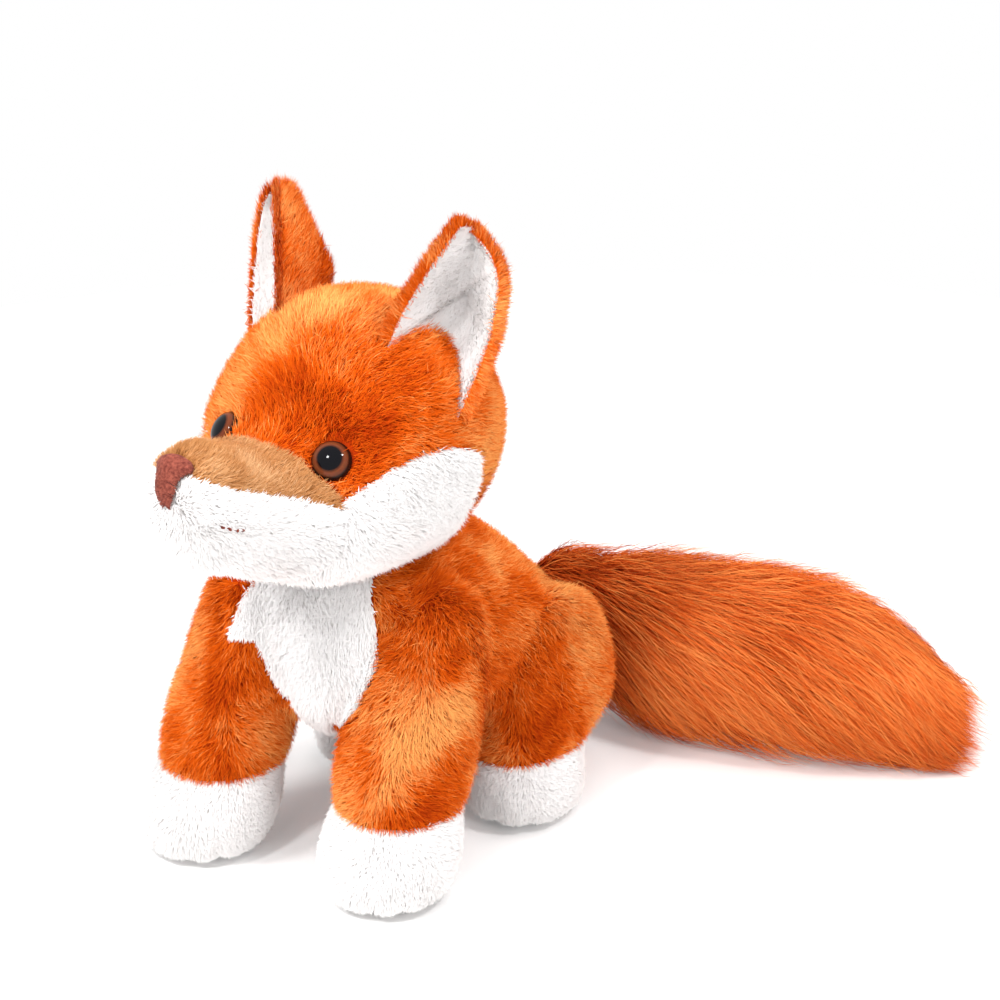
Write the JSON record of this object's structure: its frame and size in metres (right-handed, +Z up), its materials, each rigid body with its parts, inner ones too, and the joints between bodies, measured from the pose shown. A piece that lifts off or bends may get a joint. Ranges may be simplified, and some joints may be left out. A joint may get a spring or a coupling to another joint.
{
  "type": "plush fox",
  "caption": "Sitting stuffed toy fox on four paws, with a long shaggy tail laid out to one side, cupped ears and domed safety eyes.",
  "frame": {"origin": "on the floor under the middle of the outer box, with the tail in its pictured place", "axes": "+Z up, -Y the way the fox looks, +X toward the fox's left side, where the tail lies"},
  "size_m": [0.236, 0.3146, 0.2597],
  "materials": {
    "orange_plush": "short brushed pile",
    "white_plush": "short dense pile",
    "tan_plush": "short flat pile",
    "rust_fur": "long shaggy pile",
    "fibre_filling": "loose polyester fibre",
    "brown_thread": "satin stitched thread",
    "brown_eye": "polished dome over a brown iris and a black pupil",
    "white_washer": "moulded"
  },
  "bodies": {
    "body": {"left_body_side": "orange_plush", "right_body_side": "orange_plush", "chest_panel": "white_plush", "body_filling": "fibre_filling"},
    "head": {"crown_panel": "orange_plush", "snout_bridge": "tan_plush", "muzzle_panel": "white_plush", "left_cheek": "white_plush", "right_cheek": "white_plush", "head_filling": "fibre_filling", "nose_patch": "brown_thread", "mouth_stitch": "brown_thread", "left_eye": "brown_eye", "right_eye": "brown_eye", "left_eye_washer": "white_washer", "right_eye_washer": "white_washer"},
    "left_ear": {"left_ear_back": "orange_plush", "left_ear_lining": "white_plush"},
    "right_ear": {"right_ear_back": "orange_plush", "right_ear_lining": "white_plush"},
    "front_left_leg": {"front_left_sleeve": "orange_plush", "front_left_paw": "white_plush", "front_left_leg_filling": "fibre_filling"},
    "front_right_leg": {"front_right_sleeve": "orange_plush", "front_right_paw": "white_plush", "front_right_leg_filling": "fibre_filling"},
    "hind_left_leg": {"hind_left_sleeve": "orange_plush", "hind_left_paw": "white_plush", "hind_left_leg_filling": "fibre_filling"},
    "hind_right_leg": {"hind_right_sleeve": "orange_plush", "hind_right_paw": "white_plush", "hind_right_leg_filling": "fibre_filling"},
    "tail": {"tail_cover": "rust_fur", "tail_filling": "fibre_filling"}
  },
  "joints": [
    {"name": "head_turn", "type": "hinge", "parent": "body", "child": "head", "pos_m": [-0.0479, -0.06084, 0.126], "axis": [0, 0, 1], "range_deg": [-20, 20], "stiffness_Nm_per_rad": 0.6},
    {"name": "left_ear_fold", "type": "hinge", "parent": "head", "child": "left_ear", "pos_m": [-0.00426, -0.06077, 0.2075], "axis": [0.7564, 0.4067, -0.5123], "range_deg": [-2, 35], "stiffness_Nm_per_rad": 0.05},
    {"name": "right_ear_fold", "type": "hinge", "parent": "head", "child": "right_ear", "pos_m": [-0.09153, -0.06077, 0.2075], "axis": [0.7564, -0.4067, 0.5123], "range_deg": [-2, 35], "stiffness_Nm_per_rad": 0.05},
    {"name": "front_left_leg_swing", "type": "hinge", "parent": "body", "child": "front_left_leg", "pos_m": [-0.0139, -0.06484, 0.093], "axis": [0.9511, 0, -0.309], "range_deg": [-12, 6], "stiffness_Nm_per_rad": 1.5},
    {"name": "front_right_leg_swing", "type": "hinge", "parent": "body", "child": "front_right_leg", "pos_m": [-0.0819, -0.06484, 0.093], "axis": [0.9511, 0, 0.309], "range_deg": [-12, 6], "stiffness_Nm_per_rad": 1.5},
    {"name": "hind_left_leg_swing", "type": "hinge", "parent": "body", "child": "hind_left_leg", "pos_m": [-0.0219, 0.01216, 0.051], "axis": [0.9781, 0, -0.2079], "range_deg": [-8, 8], "stiffness_Nm_per_rad": 1.5},
    {"name": "hind_right_leg_swing", "type": "hinge", "parent": "body", "child": "hind_right_leg", "pos_m": [-0.0739, 0.01216, 0.051], "axis": [0.9781, 0, 0.2079], "range_deg": [-8, 8], "stiffness_Nm_per_rad": 1.5},
    {"name": "tail_swing", "type": "hinge", "parent": "body", "child": "tail", "pos_m": [-0.0479, 0.07116, 0.034], "axis": [0, 0, 1], "range_deg": [-5, 130]}
  ]
}
